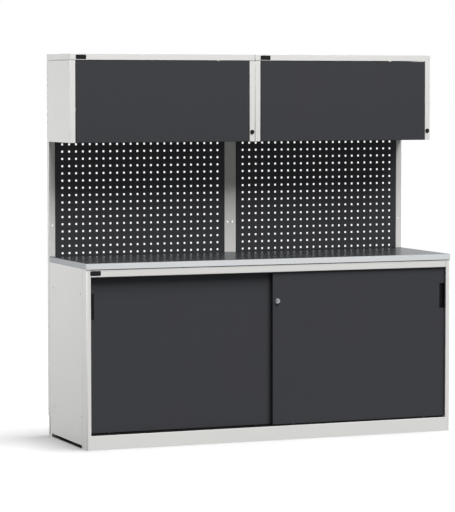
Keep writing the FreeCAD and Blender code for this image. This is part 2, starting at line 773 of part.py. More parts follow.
def upright(name, left, right, holes, slotted_side):
    """Channel open to the back; its outer side has a slot at every hook pitch."""
    body = new_body(f"upright_{name}")
    inside_left, inside_right = f"{left} + upright_steel", f"{right} - upright_steel"
    fold = [
        (left, "wall"), (right, "wall"), (right, "rear"), (inside_right, "rear"),
        (inside_right, "upright_web"), (inside_left, "upright_web"), (inside_left, "rear"), (left, "rear"),
    ]
    extrude(body, "Pad", "XY", [fold], "step_height", "bench_height")
    screw_holes = [(place, "wall_hole_level", "wall_hole_radius") for place in holes]
    extrude(body, "Pocket", "XZ", screw_holes, "wall - overrun", "upright_web + overrun")
    hooks = [slot_at(f"row_first + {step} * hole_pitch") for step in hook_steps()]
    inner_sides = [(f"{left} - overrun", f"{inside_left} + overrun"),
                   (f"{inside_right} - overrun", f"{right} + overrun")]
    if slotted_side:
        start, end = inner_sides.pop(0 if slotted_side < 0 else 1)
        bolts = [("slot_line", level, "base_bolt_radius") for level in ("base_bolt_low", "base_bolt_high")]
        extrude(body, "Pocket", "YZ", bolts, start, end)
        first = extrude(body, "Pocket", "YZ", [slot_at("slot_first")], start, end)
        repeat(body, first, [("V_Axis", "hole_pitch", "slot_count")])
    for start, end in inner_sides:
        extrude(body, "Pocket", "YZ", hooks, start, end)


def slot_at(level):
    return rectangle("slot_line - slot_width / 2", f"{level} - slot_height / 2",
                     "slot_line + slot_width / 2", f"{level} + slot_height / 2")


def hook_steps():
    """The first, middle and last hole rows, where the tool panels hook into the uprights."""
    return "0", "floor(rows / 2)", "(rows - 1)"


def tool_panel(name, side):
    """Perforated tray: square holes on the hook pitch, and side lugs that hang in the uprights' slots."""
    body = new_body(f"tool_panel_{name}")
    centre = f"{side} * half / 2"
    left, right = f"{centre} - panel_half", f"{centre} + panel_half"
    face = rectangle(left, "panel_bottom", right, "panel_top")
    extrude(body, "Pad", "XZ", [face], "wall", "wall + panel_depth")
    tray = rectangle(f"{left} + steel", "panel_bottom + steel", f"{right} - steel", "panel_top - steel")
    extrude(body, "Pocket", "XZ", [tray], "wall + steel", "wall + panel_depth + overrun")
    lugs = [
        rectangle("slot_line - lug_width / 2", f"row_first + {step} * hole_pitch - lug_height / 2",
                  "slot_line + lug_width / 2", f"row_first + {step} * hole_pitch + lug_height / 2")
        for step in hook_steps()
    ]
    extrude(body, "Pad", "YZ", lugs, f"{left} - lug_reach", f"{left} + steel")
    extrude(body, "Pad", "YZ", lugs, f"{right} - steel", f"{right} + lug_reach")
    first_column = f"{centre} - (columns - 1) * hole_pitch / 2"
    hole = rectangle(f"{first_column} - hole_width / 2", "row_first - hole_width / 2",
                     f"{first_column} + hole_width / 2", "row_first + hole_width / 2")
    punched = extrude(body, "Pocket", "XZ", [hole], "wall - overrun", "wall + steel + overrun")
    repeat(body, punched, [("H_Axis", "hole_pitch", "columns"), ("V_Axis", "hole_pitch", "rows")])


def cabinet_side(cabinet, name, edge, way, has_lock):
    """Side panel of an overhead cabinet, folded round into the front stile."""
    def inward(distance):
        return f"{edge} + {way} * ({distance})"

    body = new_body(f"{cabinet}_cabinet_side_{name}")
    fold = [
        (edge, "cabinet_back"), (edge, "cabinet_front"), (inward("stile_width"), "cabinet_front"),
        (inward("stile_width"), "cabinet_front + stile_return"),
        (inward("stile_width - steel"), "cabinet_front + stile_return"),
        (inward("stile_width - steel"), "cabinet_front + steel"), (inward("steel"), "cabinet_front + steel"),
        (inward("steel"), "cabinet_back - steel"), (inward("cabinet_flange"), "cabinet_back - steel"),
        (inward("cabinet_flange"), "cabinet_back"),
    ]
    extrude(body, "Pad", "XY", [fold], "cabinet_bottom", "lid_bottom - lid_joint")
    round_folds(body, [("XY", edge, "cabinet_front"), ("XY", inward("stile_width"), "cabinet_front")])
    ends = (inward("stile_width + overrun"), inward("stile_width - steel - overrun"))
    start, end = sorted(ends, key=number)
    pivot = ("pivot_line", "pivot_level", "pivot_radius + running_gap")
    extrude(body, "Pocket", "YZ", [pivot], start, end)
    if has_lock:
        bored = (inward("flap_lock_edge"), "flap_lock_level", "flap_lock_radius + running_gap")
        extrude(body, "Pocket", "XZ", [bored], "cabinet_front - overrun", "cabinet_front + steel + overrun")


def cabinet_lid(cabinet, left, right):
    """Lid with a skirt all round its front and sides, turned in under the side skirts."""
    body = new_body(f"{cabinet}_cabinet_lid")
    rim, under = "lid_bottom + steel", "bench_height - steel"
    fold = [
        (left, "lid_bottom"), (left, "bench_height"), (right, "bench_height"), (right, "lid_bottom"),
        (f"{right} - lid_return", "lid_bottom"), (f"{right} - lid_return", rim), (f"{right} - steel", rim),
        (f"{right} - steel", under), (f"{left} + steel", under), (f"{left} + steel", rim),
        (f"{left} + lid_return", rim), (f"{left} + lid_return", "lid_bottom"),
    ]
    extrude(body, "Pad", "XZ", [fold], "cabinet_front", "cabinet_back")
    front_skirt = rectangle(f"{left} + steel", "lid_bottom", f"{right} - steel", under)
    extrude(body, "Pad", "XZ", [front_skirt], "cabinet_front", "cabinet_front + steel")
    round_folds(body, [("XZ", left, "bench_height"), ("XZ", right, "bench_height"),
                       ("YZ", "cabinet_front", "bench_height"),
                       ("XY", left, "cabinet_front"), ("XY", right, "cabinet_front")])


def cabinet_floor(cabinet, left, right):
    """Floor behind the flap, turned up at the front as its stop and at the back as a flange."""
    front_edge, back_edge = "cabinet_front + cabinet_floor_setback", "cabinet_back - steel"
    top, high = "cabinet_bottom + steel", "cabinet_bottom + cabinet_floor_flange"
    fold = [
        (front_edge, "cabinet_bottom"), (back_edge, "cabinet_bottom"), (back_edge, high),
        (f"{back_edge} - steel", high), (f"{back_edge} - steel", top), (f"{front_edge} + steel", top),
        (f"{front_edge} + steel", high), (front_edge, high),
    ]
    body = new_body(f"{cabinet}_cabinet_floor")
    extrude(body, "Pad", "YZ", [fold], f"{left} + steel + seam", f"{right} - steel - seam")


def cabinet_back(cabinet, left, right):
    """Back sheet of an overhead cabinet, which screws to the uprights."""
    sheet = rectangle(left, "cabinet_bottom", right, "bench_height")
    extrude(new_body(f"{cabinet}_cabinet_back"), "Pad", "XZ", [sheet], "cabinet_back", "wall")


def flap_door(cabinet, left, right):
    """Steel tray flap with a slotted catch tab that its lock's cam turns into."""
    body = new_body(f"flap_door_{cabinet}")
    low, high = f"{left} + flap_inset", f"{right} - flap_inset"
    face = rectangle(low, "cabinet_bottom", high, "flap_top")
    extrude(body, "Pad", "XZ", [face], "flap_front", "flap_back")
    tray = rectangle(f"{low} + steel", "cabinet_bottom + steel", f"{high} - steel", "flap_top - steel")
    extrude(body, "Pocket", "XZ", [tray], "flap_front + steel", "flap_back + overrun")
    round_folds(body, front_folds(low, "cabinet_bottom", high, "flap_top", "flap_front"))
    tab_low = "flap_lock_level - catch_drop"
    tab = rectangle("flap_front", tab_low, "flap_back + catch_reach", f"{tab_low} + catch_height")
    extrude(body, "Pad", "YZ", [tab], f"{high} - steel", high)
    reach = "cam_width / 2 + cam_play"
    sweep = f"{reach} + stile_width - flap_lock_edge + flap_gap"
    slot = rectangle("cam_front - cam_play", f"flap_lock_level - ({reach})",
                     "cam_back + cam_play", f"flap_lock_level + {sweep}")
    extrude(body, "Pocket", "YZ", [slot], f"{high} - steel - overrun", f"{high} + overrun")
    pivot = ("pivot_line", "pivot_level", "pivot_radius + running_gap")
    extrude(body, "Pocket", "YZ", [pivot], f"{low} - overrun", f"{low} + steel + overrun")
    extrude(body, "Pocket", "YZ", [pivot], f"{high} - steel - overrun", f"{high} + overrun")


def flap_pivots(cabinet, left, right):
    """Headed pins through the flap's ends into the stiles' returns."""
    pins = []
    for edge, way in ((f"{left} + flap_inset", "1"), (f"{right} - flap_inset", "-1")):
        head = f"{edge} + {way} * (steel + pivot_head)"
        shoulder = f"{edge} + {way} * steel"
        tip = f"{edge} - {way} * pivot_reach"
        pin = new_body("flap_pivot", is_part=False)
        profile = [
            (tip, "0"), (tip, "pivot_radius"), (shoulder, "pivot_radius"),
            (shoulder, "pivot_head_radius"), (head, "pivot_head_radius"), (head, "0"),
        ]
        turn(pin, "X", "pivot_line", "pivot_level", profile)
        pins.append(pin)
    new_group(f"flap_pivots_{cabinet}", pins)


def flap_lock(cabinet, right):
    """Key lock in the right stile: its black case, returned for grouping, and the barrel with its cam."""
    place = f"{right} - flap_lock_edge"
    bore = "flap_key_radius + running_gap"
    case_front, case_back = "cabinet_front - flap_lock_rim", "cabinet_front + flap_lock_depth"
    case = new_body("flap_lock_case", is_part=False)
    profile = [
        (case_front, bore), (case_front, "flap_lock_rim_radius"), ("cabinet_front", "flap_lock_rim_radius"),
        ("cabinet_front", "flap_lock_radius"), (case_back, "flap_lock_radius"), (case_back, bore),
    ]
    turn(case, "Y", place, "flap_lock_level", profile)
    barrel = new_body(f"flap_lock_barrel_{cabinet}")
    face = f"{case_front} - flap_key_proud"
    turn(barrel, "Y", place, "flap_lock_level", rectangle(face, "0", "cam_back", "flap_key_radius"))
    cam = rectangle(f"{place} - cam_width / 2", "flap_lock_level",
                    f"{place} + cam_width / 2", "flap_lock_level + cam_length")
    extrude(barrel, "Pad", "XZ", [cam], "cam_front", "cam_back")
    key_slot(barrel, place, "flap_lock_level", face)
    return case


def base():
    for name, side in SIDES:
        corner_post(name, side)
        base_side(name, side)
        side_feet(name, side)
        shelf(name, side)
    front_rail()
    front_plinth()
    rear_plinth()
    base_back()
    base_floor()
    centre_partition()
    shelf_clips()
    upper_door_track()
    lower_door_track()
    door_buffers()


def doors():
    rows = (("left", -1, "rear_door", "rear_line", "front_door_edge + door_overlap"),
            ("right", 1, "front_door", "front_line", "front_door_edge"))
    for name, side, plane, line, inner in rows:
        left, right = sorted((f"{side} * door_outer", inner), key=number)
        sliding_door(name, side, plane, inner)
        door_pull(name, side, plane)
        top_guides(name, left, right, line)
        roller_brackets(name, left, right, plane, line)
        door_rollers(name, left, right, line)
    lock_parts()


def tool_wall():
    outer, middle = "half - wall_hole_edge", "upright_face - wall_hole_edge"
    upright("left", "-half", "upright_face - half", [f"-({outer})"], -1)
    upright("centre", "-upright_face", "upright_face", [f"-({middle})", middle], 0)
    upright("right", "half - upright_face", "half", [outer], 1)
    for name, side in SIDES:
        tool_panel(name, side)


def overhead():
    cases = []
    for cabinet, left, right in CABINETS:
        cabinet_side(cabinet, "left", left, "1", has_lock=False)
        cabinet_side(cabinet, "right", right, "-1", has_lock=True)
        cabinet_lid(cabinet, left, right)
        cabinet_floor(cabinet, left, right)
        cabinet_back(cabinet, left, right)
        flap_door(cabinet, left, right)
        flap_pivots(cabinet, left, right)
        cases.append(flap_lock(cabinet, right))
    new_group("flap_lock_cases", cases)


def write_parts():
    """Check every object and every shape, then write one file for each node."""
    doc.recompute()
    failed = [o.Label for o in doc.Objects if {"Invalid", "Error"} & set(o.State)]
    broken = [p.Label for p in parts if p.Shape.isNull() or not p.Shape.isValid()]
    if failed or broken:
        raise ValueError(f"failed objects {failed}, broken shapes {broken}")
    os.makedirs("parts", exist_ok=True)
    for part in parts:
        part.Shape.exportStep(f"parts/{part.Label}.step")
    print(len(parts), "parts written")


fill_sheet()
base()
worktop()
doors()
tool_wall()
overhead()
write_parts()
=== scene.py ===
"""Looks of the workbench cabinet: a finish for every CAD node, the small pieces that only the eye needs,
a pale floor, soft studio light and the photograph's viewpoint. Metres, in the CAD frame."""
import json
import math

import bpy
import numpy as np
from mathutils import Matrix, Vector


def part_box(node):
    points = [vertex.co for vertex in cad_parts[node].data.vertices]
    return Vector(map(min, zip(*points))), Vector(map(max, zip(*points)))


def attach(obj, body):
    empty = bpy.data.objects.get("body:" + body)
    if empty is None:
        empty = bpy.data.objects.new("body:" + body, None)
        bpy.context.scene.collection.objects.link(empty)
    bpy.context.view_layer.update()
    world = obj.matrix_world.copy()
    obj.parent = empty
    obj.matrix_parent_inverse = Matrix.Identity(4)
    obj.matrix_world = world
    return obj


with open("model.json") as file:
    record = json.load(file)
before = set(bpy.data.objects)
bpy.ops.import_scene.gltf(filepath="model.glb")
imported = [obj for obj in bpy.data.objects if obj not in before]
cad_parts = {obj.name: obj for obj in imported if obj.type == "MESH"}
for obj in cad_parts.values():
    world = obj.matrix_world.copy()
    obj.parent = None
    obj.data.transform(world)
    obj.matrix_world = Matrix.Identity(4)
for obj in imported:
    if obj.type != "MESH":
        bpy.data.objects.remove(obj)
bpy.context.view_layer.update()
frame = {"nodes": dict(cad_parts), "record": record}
scene = bpy.context.scene
MM = 0.001


def linear(hex_code):
    """An sRGB hex colour as linear red, green, blue and alpha."""
    code = np.array([int(hex_code[place:place + 2], 16) for place in (1, 3, 5)]) / 255
    light = np.where(code <= 0.04045, code / 12.92, ((code + 0.055) / 1.055) ** 2.4)
    return (*light.tolist(), 1.0)


def per_metre(size_mm):
    """Texture scale of a pattern whose repeat is this long."""
    return 1 / (size_mm * MM)


# Materials

# Sockets of a Mix node for colours: the share of the second colour, both colours, and the result
SHARE, FIRST, SECOND = 0, 6, 7
MIXED = 2


def add(tree, kind, inputs, **settings):
    """One node. settings are its properties; inputs maps a socket to a value or to the socket that
    feeds it."""
    node = tree.nodes.new(kind)
    for name, value in settings.items():
        setattr(node, name, value)
    for socket, value in inputs.items():
        if isinstance(value, bpy.types.NodeSocket):
            tree.links.new(value, node.inputs[socket])
        else:
            node.inputs[socket].default_value = value
    return node


def new_material(name):
    """An empty material with its shader, and the Object coordinates that its patterns read."""
    material = bpy.data.materials.new(name)
    material.use_nodes = True
    tree = material.node_tree
    shader = tree.nodes["Principled BSDF"]
    coords = add(tree, "ShaderNodeTexCoord", {}).outputs["Object"]
    return material, tree, shader, coords


def powder_coat(name, colour, cloud_colour, roughness, gloss):
    """Polyester powder, sprayed on sheet steel and baked. The eye gets an even satin colour that drifts
    a little over the length of an arm, a fine orange peel in the highlights, and duller touched patches."""
    material, tree, shader, coords = new_material(name)
    cloud = add(tree, "ShaderNodeTexNoise", {"Vector": coords, "Scale": per_metre(420), "Detail": 3.0})
    shades = add(tree, "ShaderNodeMix", {SHARE: cloud.outputs["Fac"], FIRST: linear(colour),
                                         SECOND: linear(cloud_colour)}, data_type="RGBA")
    tree.links.new(shades.outputs[MIXED], shader.inputs["Base Color"])
    touch = add(tree, "ShaderNodeTexNoise", {"Vector": coords, "Scale": per_metre(90), "Detail": 4.0})
    drift = 0.05
    dull = add(tree, "ShaderNodeMapRange", {"Value": touch.outputs["Fac"], "From Min": 0.3, "From Max": 0.7,
                                            "To Min": roughness - drift, "To Max": roughness + drift})
    tree.links.new(dull.outputs["Result"], shader.inputs["Roughness"])
    # Real orange peel repeats at 1 to 2 mm; it is drawn at 3 mm so that a near view shows it
    peel = add(tree, "ShaderNodeTexNoise", {"Vector": coords, "Scale": per_metre(3), "Detail": 2.0})
    bump = add(tree, "ShaderNodeBump", {"Height": peel.outputs["Fac"], "Strength": 0.35,
                                        "Distance": 0.06 * MM})
    tree.links.new(bump.outputs["Normal"], shader.inputs["Normal"])
    shader.inputs["IOR"].default_value = 1.5
    shader.inputs["Specular IOR Level"].default_value = gloss
    return material


def brushed_worktop_steel():
    """Bright sheet steel, brushed along the bench. The eye gets a soft mirror that smears what stands
    behind it, and fine lines along the length. Like dull steel, it doesn't brighten at a low view. Light
    that a dull surface would get from it is mostly left out, so that the tool wall keeps its shadow."""
    material, tree, shader, coords = new_material("brushed sheet steel")
    # Real brush lines are finer than half a millimetre; they are drawn 4 mm wide so that they show
    along, across = per_metre(300), per_metre(4)
    stretch = add(tree, "ShaderNodeMapping", {"Vector": coords, "Scale": (along, across, across)})
    lines = add(tree, "ShaderNodeTexNoise", {"Vector": stretch.outputs["Vector"], "Scale": 1.0,
                                             "Detail": 4.0})
    tone = add(tree, "ShaderNodeMix", {SHARE: lines.outputs["Fac"], FIRST: linear("#C0C3C5"),
                                       SECOND: linear("#CACDCF")}, data_type="RGBA")
    scattered = add(tree, "ShaderNodeLightPath", {}).outputs["Is Diffuse Ray"]
    dimmed = add(tree, "ShaderNodeMix", {SHARE: scattered, FIRST: tone.outputs[MIXED],
                                         SECOND: linear("#303030")}, data_type="RGBA")
    tree.links.new(dimmed.outputs[MIXED], shader.inputs["Base Color"])
    grain = add(tree, "ShaderNodeMapRange", {"Value": lines.outputs["Fac"], "From Min": 0.3, "From Max": 0.7,
                                             "To Min": 0.23, "To Max": 0.25})
    tree.links.new(grain.outputs["Result"], shader.inputs["Roughness"])
    bump = add(tree, "ShaderNodeBump", {"Height": lines.outputs["Fac"], "Strength": 0.01,
                                        "Distance": 0.02 * MM})
    tree.links.new(bump.outputs["Normal"], shader.inputs["Normal"])
    # Just under 1: fine wear scatters a little light, as a faint haze over the mirror image
    shader.inputs["Metallic"].default_value = 0.97
    shader.inputs["Specular Tint"].default_value = linear("#9C9EA1")
    return material


def zinc_plate():
    """Steel, zinc plated by dipping. The eye gets a dull grey metal with flat spangles of slightly
    different tone."""
    material, tree, shader, coords = new_material("zinc plated steel")
    spangle = add(tree, "ShaderNodeTexVoronoi", {"Vector": coords, "Scale": per_metre(7)})
    tone = add(tree, "ShaderNodeMix", {SHARE: spangle.outputs["Color"], FIRST: linear("#A9AEB2"),
                                       SECOND: linear("#C2C6C8")}, data_type="RGBA")
    tree.links.new(tone.outputs[MIXED], shader.inputs["Base Color"])
    dull = add(tree, "ShaderNodeMapRange", {"Value": spangle.outputs["Color"],
                                            "To Min": 0.32, "To Max": 0.46})
    tree.links.new(dull.outputs["Result"], shader.inputs["Roughness"])
    shader.inputs["Metallic"].default_value = 1.0
    return material


def chrome_plate():
    """Chromium over polished die-cast zinc. The eye gets a dark-edged mirror with hairline scratches."""
    material, tree, shader, coords = new_material("chrome plate")
    shader.inputs["Base Color"].default_value = linear("#A6A8AC")
    # Real scratches are far finer; they are drawn at 1.5 mm so that a near view shows them
    scratch = add(tree, "ShaderNodeTexNoise", {"Vector": coords, "Scale": per_metre(1.5), "Detail": 6.0})
    haze = add(tree, "ShaderNodeMapRange", {"Value": scratch.outputs["Fac"], "From Min": 0.4, "From Max": 0.8,
                                            "To Min": 0.08, "To Max": 0.22})
    tree.links.new(haze.outputs["Result"], shader.inputs["Roughness"])
    shader.inputs["Metallic"].default_value = 1.0
    return material


def moulding(name, colour, cloud_colour, roughness, gloss, grit_mm):
    """Plastic, rubber or foam from a mould. The eye gets an even colour, and the fine grit that the mould
    or the foam's pores leave."""
    material, tree, shader, coords = new_material(name)
    cloud = add(tree, "ShaderNodeTexNoise", {"Vector": coords, "Scale": per_metre(60), "Detail": 2.0})
    shades = add(tree, "ShaderNodeMix", {SHARE: cloud.outputs["Fac"], FIRST: linear(colour),
                                         SECOND: linear(cloud_colour)}, data_type="RGBA")
    tree.links.new(shades.outputs[MIXED], shader.inputs["Base Color"])
    # Real grit is a few tenths of a millimetre; it is drawn at 1 to 2 mm so that a near view shows it
    grit = add(tree, "ShaderNodeTexNoise", {"Vector": coords, "Scale": per_metre(grit_mm), "Detail": 2.0})
    bump = add(tree, "ShaderNodeBump", {"Height": grit.outputs["Fac"], "Strength": 0.3,
                                        "Distance": 0.04 * MM})
    tree.links.new(bump.outputs["Normal"], shader.inputs["Normal"])
    shader.inputs["Roughness"].default_value = roughness
    shader.inputs["IOR"].default_value = 1.52
    shader.inputs["Specular IOR Level"].default_value = gloss
    return material


def chipboard():
    """Pressed wood chips. The eye gets flat tan flakes, some dark, with tiny gaps between them."""
    material, tree, shader, coords = new_material("chipboard")
    flakes = add(tree, "ShaderNodeTexVoronoi", {"Vector": coords, "Scale": per_metre(6), "Randomness": 1.0})
    tone = add(tree, "ShaderNodeMix", {SHARE: flakes.outputs["Color"], FIRST: linear("#A17B4F"),
                                       SECOND: linear("#CDAA78")}, data_type="RGBA")
    tree.links.new(tone.outputs[MIXED], shader.inputs["Base Color"])
    bump = add(tree, "ShaderNodeBump", {"Height": flakes.outputs["Distance"], "Strength": 0.4,
                                        "Distance": 0.2 * MM})
    tree.links.new(bump.outputs["Normal"], shader.inputs["Normal"])
    shader.inputs["Roughness"].default_value = 0.8
    return material


light_coat = powder_coat("light grey powder coat", "#DCDBD8", "#D7D7D5", roughness=0.42, gloss=0.25)
dark_coat = powder_coat("anthracite powder coat", "#3C3B3F", "#383B3E", roughness=0.46, gloss=0.1)
worktop_steel = brushed_worktop_steel()
zinc_steel = zinc_plate()
chrome = chrome_plate()
# A warm off-white with a soft shine
nylon = moulding("natural nylon", "#DEDCD4", "#D6D3C8", roughness=0.45, gloss=0.4, grit_mm=1.5)
# The deepest black, dyed through, with a weak shine
black_plastic = moulding("black ABS", "#151516", "#191919", roughness=0.45, gloss=0.15, grit_mm=1.0)
# A greyer, dull black
rubber = moulding("black rubber", "#1D1D1E", "#242425", roughness=0.75, gloss=0.2, grit_mm=2.0)
# The palest black, with hardly any shine; under the worktop's front edge it is painted shadow
foam = moulding("black foam, also painted shadow", "#242424", "#2A2A2A", roughness=0.9, gloss=0.1, grit_mm=2.0)
raw_board = chipboard()

FINISH_OF_SLOT = {
    "light_coat": light_coat, "dark_coat": dark_coat, "zinc_steel": zinc_steel, "nylon": nylon,
    "rubber": rubber, "chipboard": raw_board, "worktop_steel": worktop_steel, "chrome": chrome,
    "black_plastic": black_plastic,
}


# CAD nodes: their finish, and softened cut edges

WELD_REACH = 0.002 * MM
SAME_PLANE = math.radians(0.2)
EDGE_ROUNDING = 0.35 * MM
EDGE_STEPS = 2
SHARP_EDGE = math.radians(50)


def dress_nodes():
    """Every node takes its slot's finish. The two perforated panels keep their punched, square edges. On the
    others the triangles of one plane are joined, so that rounding the edges leaves no hairline across it."""
    for row in frame["record"]["subparts"]:
        node = frame["nodes"][row["node"]]
        node.material_slots[0].material = FINISH_OF_SLOT[row["material_slot"]]
        if row["node"].startswith("tool_panel"):
            continue
        weld = node.modifiers.new("weld", "WELD")
        weld.merge_threshold = WELD_REACH
        plane = node.modifiers.new("plane", "DECIMATE")
        plane.decimate_type = "DISSOLVE"
        plane.angle_limit = SAME_PLANE
        bevel = node.modifiers.new("edge", "BEVEL")
        bevel.width = EDGE_ROUNDING
        bevel.segments = EDGE_STEPS
        bevel.limit_method = "ANGLE"
        bevel.angle_limit = SHARP_EDGE


# New pieces

# Axes of a piece that is set on a face: across the face, up it, and out of it
FRONTWARDS = ((1, 0, 0), (0, 0, 1), (0, -1, 0))
REARWARDS = ((-1, 0, 0), (0, 0, 1), (0, 1, 0))
RIGHTWARDS = ((0, 1, 0), (0, 0, 1), (1, 0, 0))


def put(name, points, faces, finish, body):
    """A mesh piece at the origin, with its finish, that rides on a body."""
    mesh = bpy.data.meshes.new(name)
    mesh.from_pydata(points.tolist(), [], faces)
    mesh.materials.append(finish)
    mesh.update()
    piece = bpy.data.objects.new(name, mesh)
    scene.collection.objects.link(piece)
    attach(piece, body)


def carried_in(outline, profile, places, axes):
    """Surface of an outline carried inwards and up, as closed rings from foot to crown.

    Ring k is place + (outline * scale_k) on the first two axes + height_k on the third, where profile
    gives (scale, height); the crown and the foot are each closed by a fan to their middle."""
    right, up, out = np.array(axes, float)
    flat = outline[:, :1] * right + outline[:, 1:] * up
    scale, height = np.array(profile, float).T
    rings = scale[:, None, None] * flat + height[:, None, None] * out
    count = len(outline)
    middle = np.stack([height[0] * out, height[-1] * out])
    one = np.concatenate([rings.reshape(-1, 3), middle])
    points = (np.asarray(places, float)[:, None, :] + one).reshape(-1, 3)
    here = np.arange(count)
    after = np.roll(here, -1)
    starts = count * np.arange(len(profile) - 1)[:, None]
    quads = np.stack([starts + here, starts + after, starts + count + after, starts + count + here], -1)
    last = count * (len(profile) - 1)
    foot = np.stack([after, here, np.full(count, len(one) - 2)], -1)
    crown = np.stack([last + here, last + after, np.full(count, len(one) - 1)], -1)
    faces = []
    for first in len(one) * np.arange(len(places)):
        faces += (quads.reshape(-1, 4) + first).tolist()
        faces += (foot + first).tolist() + (crown + first).tolist()
    return points, faces


def circle(radius, segments):
    """Points at equal angles on a circle."""
    turn = np.arange(segments) * 2 * math.pi / segments
    return radius * np.stack([np.cos(turn), np.sin(turn)], -1)


def soft_rectangle(width, height, segments):
    """A superellipse of power 9: |x / a|^9 + |z / b|^9 = 1, a rectangle with small round corners."""
    turn = (np.arange(segments) + 0.5) * 2 * math.pi / segments
    across, along = np.cos(turn), np.sin(turn)
    power = 2 / 9
    return np.stack([width / 2 * np.sign(across) * np.abs(across) ** power,
                     height / 2 * np.sign(along) * np.abs(along) ** power], -1)


def badge_plates():
    """Blank plates at the left of the rail and of both lids: a raised rim round a flat field."""
    field, lip = 0.9 * MM, 1.2 * MM
    rim = [(1.0, 0.0), (1.0, field), (0.985, lip), (0.955, lip), (0.94, field), (0.5, field)]
    width, rail_height, lid_height = 56 * MM, 24 * MM, 22.5 * MM
    rail_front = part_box("front_rail")[0].y
    lid_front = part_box("left_cabinet_lid")[0].y
    # The middle of each plate's rear face, and its height
    plates = (
        ("badge_plate_base", (-0.9705, rail_front, 0.895), rail_height),
        ("badge_plate_left", (-0.9595, lid_front, 1.9828), lid_height),
        ("badge_plate_right", (0.059, lid_front, 1.9825), lid_height),
    )
    for name, place, height in plates:
        outline = soft_rectangle(width, height, segments=72)
        points, faces = carried_in(outline, rim, [place], FRONTWARDS)
        put(name, points, faces, black_plastic, "bench")


def blind_rivets():
    """Domed rivet heads with the sunk end of their pin, along the seams of the back sheets."""
    head = [(1.0, 0.0), (0.97, 0.5 * MM), (0.8, 0.95 * MM), (0.55, 1.2 * MM), (0.4, 1.25 * MM),
            (0.36, 0.9 * MM)]
    radius = 3.2 * MM
    # Distance of the rivets from a sheet's ends, from a seam, and from the fold under a lid
    end, seam, fold = 80 * MM, 12 * MM, 20 * MM
    places = []
    for cabinet in ("left", "right"):
        low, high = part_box(f"{cabinet}_cabinet_back")
        across = np.linspace(low.x + end, high.x - end, 7)
        for level in (low.z + seam, high.z - fold):
            places += [(x, high.y, level) for x in across.tolist()]
    # The base's rivets stand in two rows of six on either side of the partition
    rear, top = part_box("base_back")[1].yz
    floor_seam = 150 * MM
    right_half = np.linspace(80 * MM, 940 * MM, 6)
    across = np.concatenate([-right_half[::-1], right_half])
    for level in (top - seam, floor_seam):
        places += [(x, rear, level) for x in across.tolist()]
    points, faces = carried_in(circle(radius, segments=20), head, places, REARWARDS)
    put("blind_rivets", points, faces, zinc_steel, "bench")


def bracket_rivets():
    """Two flat rivet heads on each roller bracket's flange, behind the doors."""
    head = [(1.0, 0.0), (1.0, 0.5 * MM), (0.85, 1.0 * MM), (0.4, 1.2 * MM)]
    radius = 3 * MM
    flange_thickness, half_bracket, half_pitch, below_top = 1.5 * MM, 15 * MM, 8 * MM, 6 * MM
    for door in ("left", "right"):
        low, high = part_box(f"roller_brackets_{door}")
        brackets = (low.x + half_bracket, high.x - half_bracket)
        places = [(middle + side * half_pitch, low.y + flange_thickness, high.z - below_top)
                  for middle in brackets for side in (-1, 1)]
        points, faces = carried_in(circle(radius, segments=18), head, places, REARWARDS)
        put(f"bracket_rivets_{door}", points, faces, zinc_steel, f"{door}_door")


def flap_spacers():
    """Light nylon at the gaps round the flaps, which keeps paint off paint: a flat tongue under the front
    edge of each lid, and a button on the left stile."""
    tongue = [(1.0, 0.0), (1.0, 0.55 * MM), (0.9, 0.75 * MM)]
    width, height = 11 * MM, 5 * MM
    inside_skirt, off_flap = 1 * MM, 0.2 * MM
    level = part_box("left_cabinet_lid")[0].z + inside_skirt - height / 2
    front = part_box("flap_door_left")[0].y - off_flap
    places = [(x, front, level) for x in (-0.208, 0.781)]
    outline = soft_rectangle(width, height, segments=48)
    points, faces = carried_in(outline, tongue, places, FRONTWARDS)
    put("lid_spacers", points, faces, nylon, "bench")
    button = [(1.0, 0.0), (0.96, 1.5 * MM), (0.8, 2.3 * MM), (0.35, 2.6 * MM)]
    radius = 4.5 * MM
    button_level = 1.716
    low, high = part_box("left_cabinet_side_left")
    place = (high.x, low.y + radius, button_level)
    points, faces = carried_in(circle(radius, segments=28), button, [place], RIGHTWARDS)
    put("stile_spacer", points, faces, nylon, "bench")


def strip(low, high, steps):
    """Surface of a straight strip along the bench between two corners: a rectangle in Y and Z, carried
    along X in equal steps and closed at both ends."""
    profile = np.array([(low[1], low[2]), (high[1], low[2]), (high[1], high[2]), (low[1], high[2])])
    points = np.empty((steps + 1, 4, 3))
    points[..., 0] = np.linspace(low[0], high[0], steps + 1)[:, None]
    points[..., 1:] = profile
    corner = np.arange(4)
    after = np.roll(corner, -1)
    starts = 4 * np.arange(steps)[:, None]
    sides = np.stack([starts + corner, starts + after, starts + 4 + after, starts + 4 + corner], -1)
    ends = [[3, 2, 1, 0], (4 * steps + corner).tolist()]
    return points.reshape(-1, 3), sides.reshape(-1, 4).tolist() + ends


def shadow_strip_and_seals():
    """Dark foam strips. One, over the rail's rounded top under the worktop's front edge, is painted shadow: a
    dark strip where that edge only casts shade. Two close the joint between the worktop's rear edge and the
    foot of each tool panel."""
    proud, behind, thickness = 1.5 * MM, 2.5 * MM, 2.6 * MM
    low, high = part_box("front_rail")
    # The first strip is painted shadow under the worktop's front edge, drawn as dark foam
    strips = [((low.x, low.y - proud, high.z - thickness), (high.x, low.y + behind, high.z))]
    inset, front, rear, sunk = 5 * MM, 0.4 * MM, 8 * MM, 4 * MM
    worktop_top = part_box("worktop_cover")[1].z
    for side in ("left", "right"):
        low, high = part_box(f"tool_panel_{side}")
        strips.append(((low.x + inset, low.y + front, worktop_top - sunk),
                       (high.x - inset, low.y + rear, low.z)))
    for name, (low, high) in zip(("worktop_shadow_strip", "panel_seal_left", "panel_seal_right"), strips):
        points, faces = strip(low, high, steps=32)
        put(name, points, faces, foam, "bench")


# Stage, light and camera

